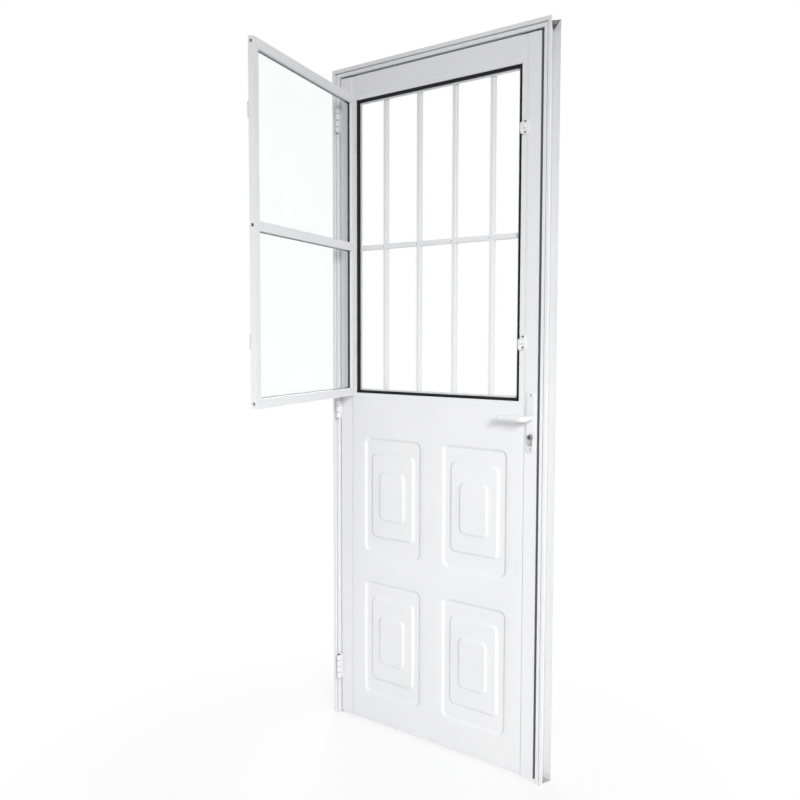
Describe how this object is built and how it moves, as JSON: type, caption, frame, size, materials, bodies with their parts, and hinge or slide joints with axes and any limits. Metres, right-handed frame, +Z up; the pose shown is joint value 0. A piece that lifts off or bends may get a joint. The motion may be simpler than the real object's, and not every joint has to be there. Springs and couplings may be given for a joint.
{
  "type": "aluminium door",
  "caption": "White aluminium entrance door in its frame, with pressed panels below, a barred window above, and an inward-opening glazed sash.",
  "frame": {"origin": "at floor level, in the middle of the foot of the hinge jamb's inner wall, which is mid depth of the frame", "axes": "+Z up, +X from the hinge jamb to the lock jamb, +Y from the room to the street"},
  "size_m": [0.7998, 0.6841, 2.0999],
  "materials": {
    "white_coating": "white powder coating, satin",
    "hinge_coating": "off-white coating, satin",
    "black_rubber": "black, matt",
    "clear_glass": "clear float glass",
    "plain_steel": "bright zinc",
    "lock_brass": "dull nickel over brass"
  },
  "bodies": {
    "frame": {"frame_head": "white_coating", "frame_hinge_jamb": "white_coating", "frame_lock_jamb": "white_coating", "frame_corner_cleats": "plain_steel", "frame_seal": "black_rubber", "strike_plate": "plain_steel", "strike_screws": "plain_steel", "hinge_frame_halves": "hinge_coating", "hinge_pins": "plain_steel", "hinge_frame_screws": "plain_steel"},
    "leaf": {"hinge_leaf_halves": "hinge_coating", "hinge_leaf_screws": "plain_steel", "leaf_hinge_stile": "white_coating", "leaf_lock_stile": "white_coating", "leaf_top_rail": "white_coating", "leaf_mid_rail": "white_coating", "leaf_bottom_rail": "white_coating", "panel_inside": "white_coating", "panel_outside": "white_coating", "surround_left": "white_coating", "surround_right": "white_coating", "surround_top": "white_coating", "surround_bottom": "white_coating", "window_gasket": "black_rubber", "grille_bar_1": "white_coating", "grille_bar_2": "white_coating", "grille_bar_3": "white_coating", "grille_bar_4": "white_coating", "grille_cross_bar": "white_coating", "lock_case": "plain_steel", "lock_faceplate": "plain_steel", "key_cylinder": "lock_brass", "backplate_inside": "white_coating", "backplate_outside": "white_coating", "backplate_screws": "plain_steel", "latch_base_upper": "white_coating", "latch_base_lower": "white_coating", "latch_base_screws": "plain_steel", "sash_hinge_brackets": "hinge_coating"},
    "sash": {"sash_hinge_stile": "white_coating", "sash_free_stile": "white_coating", "sash_top_rail": "white_coating", "sash_mid_rail": "white_coating", "sash_bottom_rail": "white_coating", "glass_upper": "clear_glass", "glass_lower": "clear_glass", "glazing_gasket": "black_rubber", "sash_hinge_wings": "hinge_coating", "sash_hinge_pins": "plain_steel", "sash_keepers": "white_coating", "sash_rail_screws": "plain_steel"},
    "handle": {"lever_inside": "white_coating", "lever_outside": "white_coating", "spindle": "plain_steel", "lock_follower": "plain_steel"},
    "latch_bolt": {"latch_bolt": "plain_steel"},
    "dead_bolt": {"dead_bolt": "plain_steel"},
    "key_plug": {"key_plug": "lock_brass"},
    "latch_lever_upper": {"latch_lever_upper": "white_coating"},
    "latch_lever_lower": {"latch_lever_lower": "white_coating"}
  },
  "joints": [
    {"name": "leaf_swing", "type": "hinge", "parent": "frame", "child": "leaf", "pos_m": [0.0033, -0.0296, 1.05], "axis": [0, 0, -1], "range_deg": [0, 100]},
    {"name": "sash_swing", "type": "hinge", "parent": "leaf", "child": "sash", "pos_m": [0.0639, -0.0295, 1.5345], "axis": [0, 0, -1], "range_deg": [-72, 38]},
    {"name": "handle_turn", "type": "hinge", "parent": "leaf", "child": "handle", "pos_m": [0.7208, 0, 1.029], "axis": [0, -1, 0], "range_deg": [0, 40], "stiffness_Nm_per_rad": 1.5, "springref_deg": -20.05},
    {"name": "latch_slide", "type": "slide", "parent": "leaf", "child": "latch_bolt", "axis": [-1, 0, 0], "range_m": [0, 0.012]},
    {"name": "key_turn", "type": "hinge", "parent": "leaf", "child": "key_plug", "pos_m": [0.7208, 0, 0.977], "axis": [0, 1, 0], "range_deg": [-10, 370]},
    {"name": "dead_slide", "type": "slide", "parent": "leaf", "child": "dead_bolt", "axis": [1, 0, 0], "range_m": [0, 0.0149]},
    {"name": "upper_latch_turn", "type": "hinge", "parent": "leaf", "child": "latch_lever_upper", "pos_m": [0.6937, -0.03, 1.823], "axis": [0, 1, 0], "range_deg": [0, 90]},
    {"name": "lower_latch_turn", "type": "hinge", "parent": "leaf", "child": "latch_lever_lower", "pos_m": [0.6937, -0.03, 1.239], "axis": [0, 1, 0], "range_deg": [0, 90]}
  ],
  "couplings": [
    {"joint": "latch_slide", "follows": "handle_turn", "m_per_rad": 0.017},
    {"joint": "key_turn", "follows": "dead_slide", "rad_per_m": 420}
  ]
}
